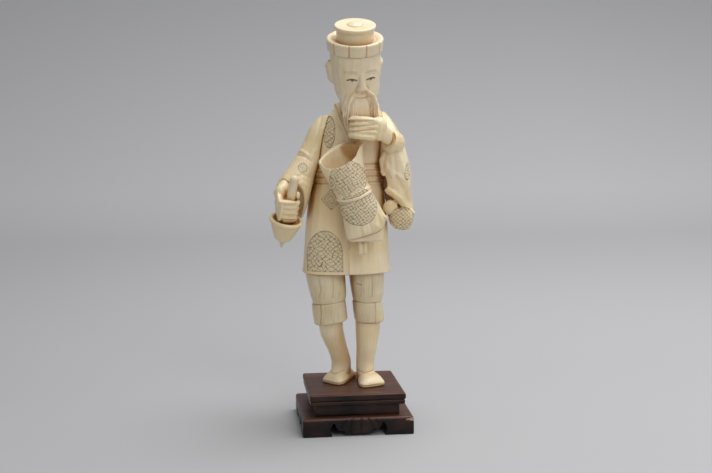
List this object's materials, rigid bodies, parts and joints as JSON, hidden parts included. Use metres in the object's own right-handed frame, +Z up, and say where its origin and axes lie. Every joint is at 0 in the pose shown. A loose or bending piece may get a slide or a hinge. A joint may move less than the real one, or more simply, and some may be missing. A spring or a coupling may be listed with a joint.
{
  "type": "carved okimono figure on stand",
  "caption": "Carved figure of a bearded pedlar in a round hat and robe, holding a spinning top and a cloth bag, pegged on a carved hardwood stand.",
  "frame": {"origin": "middle of the stand's underside, on the surface it stands on", "axes": "+Z up, the figure faces -Y, +X to the right of someone who faces it; rest pose has the figure seated on its stand"},
  "size_m": [0.0774, 0.0577, 0.2149],
  "materials": {
    "ivory": "softly polished ivory, honey patina in the hollows",
    "pale_ivory": "paler polished ivory with fine grain",
    "stand_wood": "dark stained hardwood, satin wax"
  },
  "bodies": {
    "stand": {"stand_plinth": "stand_wood", "stand_neck": "stand_wood", "stand_moulding": "stand_wood", "stand_top": "stand_wood"},
    "figure": {"sole_pegs": "ivory", "lower_leg_right": "ivory", "lower_leg_left": "ivory", "knee_cuff_right": "ivory", "knee_cuff_left": "ivory", "trouser_leg_right": "ivory", "trouser_leg_left": "ivory", "knee_pegs": "ivory", "hip_pegs": "ivory", "robe": "ivory", "sleeve_right": "ivory", "sleeve_left": "ivory", "shoulder_pegs": "ivory", "hand_right": "ivory", "hand_left": "ivory", "wrist_pegs": "ivory", "neck_peg": "ivory", "head": "pale_ivory", "hat_band": "pale_ivory", "hat_crown": "pale_ivory", "hat_button": "pale_ivory", "bag": "ivory", "bag_liner": "pale_ivory", "bag_ties": "pale_ivory"},
    "toy_top": {"top_spindle": "pale_ivory", "top_body": "ivory"}
  },
  "joints": [
    {"name": "figure_lift", "type": "slide", "parent": "stand", "child": "figure", "axis": [0, 0, 1], "range_m": [0, 0.012]},
    {"name": "top_turn", "type": "hinge", "parent": "figure", "child": "toy_top", "pos_m": [-0.0382, -0.0083, 0.0966], "axis": [0.1712, -0.3173, 0.9327], "continuous": true}
  ]
}
